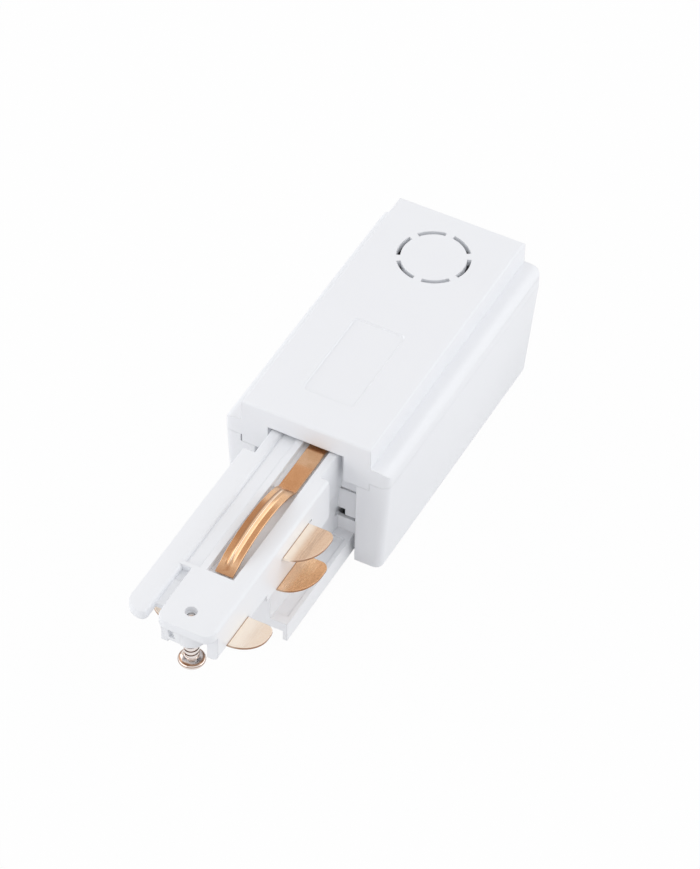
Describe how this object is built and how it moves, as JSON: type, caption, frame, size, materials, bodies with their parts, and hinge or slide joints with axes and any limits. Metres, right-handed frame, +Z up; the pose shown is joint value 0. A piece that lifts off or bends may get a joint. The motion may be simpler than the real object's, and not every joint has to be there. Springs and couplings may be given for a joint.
{
  "type": "track light power feed",
  "caption": "Live-end feed for a surface lighting track: a stepped housing with a keyed insert, side and top contacts, and a locking screw under its nose.",
  "frame": {"origin": "under the middle of the whole part, at the height of the housing's flat bottom", "axes": "+Z up from the housing's bottom to its capped top, +Y from the insert towards the closed end of the housing, +X to the right seen from the insert's end"},
  "size_m": [0.036, 0.1194, 0.0324],
  "materials": {
    "white_plastic": "satin moulded",
    "grey_plastic": "matt moulded",
    "copper": "bright pressed copper alloy",
    "brass": "machined",
    "nickel": "nickel plated",
    "zinc_steel": "zinc plated"
  },
  "bodies": {
    "feed_body": {"upper_shell": "white_plastic", "lower_shell": "white_plastic", "contact_carrier": "white_plastic", "carrier_base": "white_plastic", "line_contact_1": "copper", "line_contact_2": "copper", "line_contact_3": "copper", "neutral_contact": "copper", "side_contact": "copper", "earth_contact": "copper", "terminal_block": "grey_plastic", "terminal_1": "brass", "terminal_2": "brass", "terminal_3": "brass", "terminal_4": "brass", "terminal_5": "brass", "lock_sleeve": "brass", "cover_screw_left": "zinc_steel", "cover_screw_right": "zinc_steel"},
    "lock_screw_body": {"lock_screw": "nickel"},
    "terminal_screw_1_body": {"terminal_screw_1": "zinc_steel"},
    "terminal_screw_2_body": {"terminal_screw_2": "zinc_steel"},
    "terminal_screw_3_body": {"terminal_screw_3": "zinc_steel"},
    "terminal_screw_4_body": {"terminal_screw_4": "zinc_steel"},
    "terminal_screw_5_body": {"terminal_screw_5": "zinc_steel"},
    "cord_clamp_body": {"cord_clamp": "grey_plastic", "clamp_screw_left": "zinc_steel", "clamp_screw_right": "zinc_steel"}
  },
  "joints": [
    {"name": "lock_screw_travel", "type": "slide", "parent": "feed_body", "child": "lock_screw_body", "axis": [0, 0, 1], "range_m": [0, 0.002]},
    {"name": "terminal_screw_1_travel", "type": "slide", "parent": "feed_body", "child": "terminal_screw_1_body", "axis": [0, 0, 1], "range_m": [0, 0.0018]},
    {"name": "terminal_screw_2_travel", "type": "slide", "parent": "feed_body", "child": "terminal_screw_2_body", "axis": [0, 0, 1], "range_m": [0, 0.0018]},
    {"name": "terminal_screw_3_travel", "type": "slide", "parent": "feed_body", "child": "terminal_screw_3_body", "axis": [0, 0, 1], "range_m": [0, 0.0018]},
    {"name": "terminal_screw_4_travel", "type": "slide", "parent": "feed_body", "child": "terminal_screw_4_body", "axis": [0, 0, 1], "range_m": [0, 0.0018]},
    {"name": "terminal_screw_5_travel", "type": "slide", "parent": "feed_body", "child": "terminal_screw_5_body", "axis": [0, 0, 1], "range_m": [0, 0.0018]},
    {"name": "cord_clamp_travel", "type": "slide", "parent": "feed_body", "child": "cord_clamp_body", "axis": [0, 0, -1], "range_m": [0, 0.003]}
  ]
}
